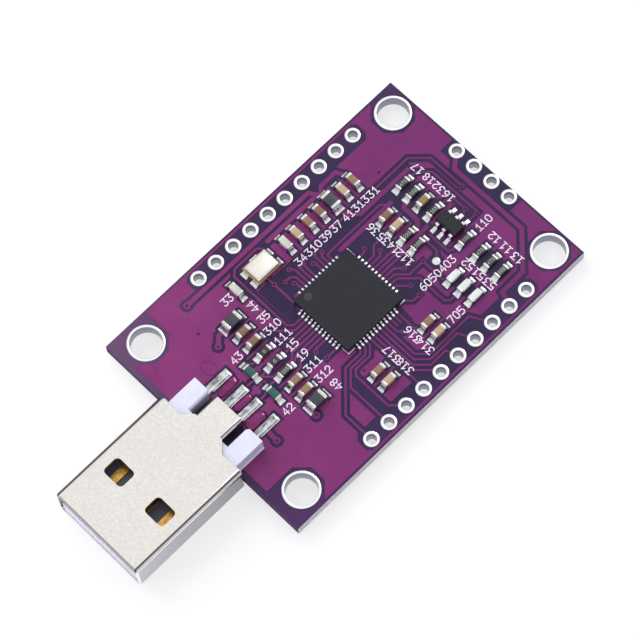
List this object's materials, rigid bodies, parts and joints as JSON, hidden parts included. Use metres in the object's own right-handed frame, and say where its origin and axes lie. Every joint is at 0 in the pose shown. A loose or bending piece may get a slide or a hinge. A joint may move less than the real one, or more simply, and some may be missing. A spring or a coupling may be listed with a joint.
{
  "type": "usb to serial adapter module",
  "caption": "Purple rectangular circuit board with plated pin holes along three edges, corner mounting holes, a square controller chip and a USB-A plug at one end.",
  "frame": {"origin": "middle of the two long rows of pin holes, on the board's underside", "axes": "+X across the board to the right seen from above with the plug towards the viewer, +Y along the board away from the plug, +Z out of the populated face"},
  "size_m": [0.0284, 0.0571, 0.0045],
  "materials": {
    "board_mask": "dark purple solder mask over glass-fibre laminate",
    "copper_mask": "purple solder mask over copper",
    "tin": "bright tin plating",
    "solder": "bright solder",
    "chip_black": "satin black moulding compound",
    "shell_steel": "nickel plated sheet steel",
    "white_plastic": "white moulded plastic",
    "contact_gold": "gold plated contact strip, tinned at its tail",
    "crystal_base": "buff ceramic",
    "crystal_lid": "pale gold metal lid",
    "resistor_black": "black glazed chip with tinned ends",
    "capacitor_tan": "tan ceramic chip with tinned ends",
    "bead_dark": "dark grey ceramic chip with tinned ends",
    "led_white": "milky lens",
    "protector_green": "green chip with tinned ends"
  },
  "bodies": {
    "root": {"bead_1": "bead_dark", "bead_2": "bead_dark", "bead_3": "bead_dark", "bottom_copper": "copper_mask", "capacitor_1": "capacitor_tan", "capacitor_10": "capacitor_tan", "capacitor_11": "capacitor_tan", "capacitor_12": "capacitor_tan", "capacitor_13": "capacitor_tan", "capacitor_14": "capacitor_tan", "capacitor_15": "capacitor_tan", "capacitor_16": "capacitor_tan", "capacitor_17": "capacitor_tan", "capacitor_18": "capacitor_tan", "capacitor_2": "capacitor_tan", "capacitor_3": "capacitor_tan", "capacitor_4": "capacitor_tan", "capacitor_5": "capacitor_tan", "capacitor_6": "capacitor_tan", "capacitor_7": "capacitor_tan", "capacitor_8": "capacitor_tan", "capacitor_9": "capacitor_tan", "circuit_board": "board_mask", "controller_body": "chip_black", "controller_leads": "solder", "crystal_base": "crystal_base", "crystal_lid": "crystal_lid", "header_hole_plating": "tin", "led_1": "led_white", "led_2": "led_white", "led_3": "led_white", "memory_body": "chip_black", "memory_leads": "solder", "mounting_hole_plating": "tin", "protector_1": "protector_green", "protector_2": "protector_green", "resistor_1": "resistor_black", "resistor_10": "resistor_black", "resistor_11": "resistor_black", "resistor_12": "resistor_black", "resistor_2": "resistor_black", "resistor_3": "resistor_black", "resistor_4": "resistor_black", "resistor_5": "resistor_black", "resistor_6": "resistor_black", "resistor_7": "resistor_black", "resistor_8": "resistor_black", "resistor_9": "resistor_black", "solder_joints": "solder", "top_copper": "copper_mask", "usb_contact_1": "contact_gold", "usb_contact_2": "contact_gold", "usb_contact_3": "contact_gold", "usb_contact_4": "contact_gold", "usb_insulator": "white_plastic", "usb_shell": "shell_steel"}
  },
  "joints": []
}
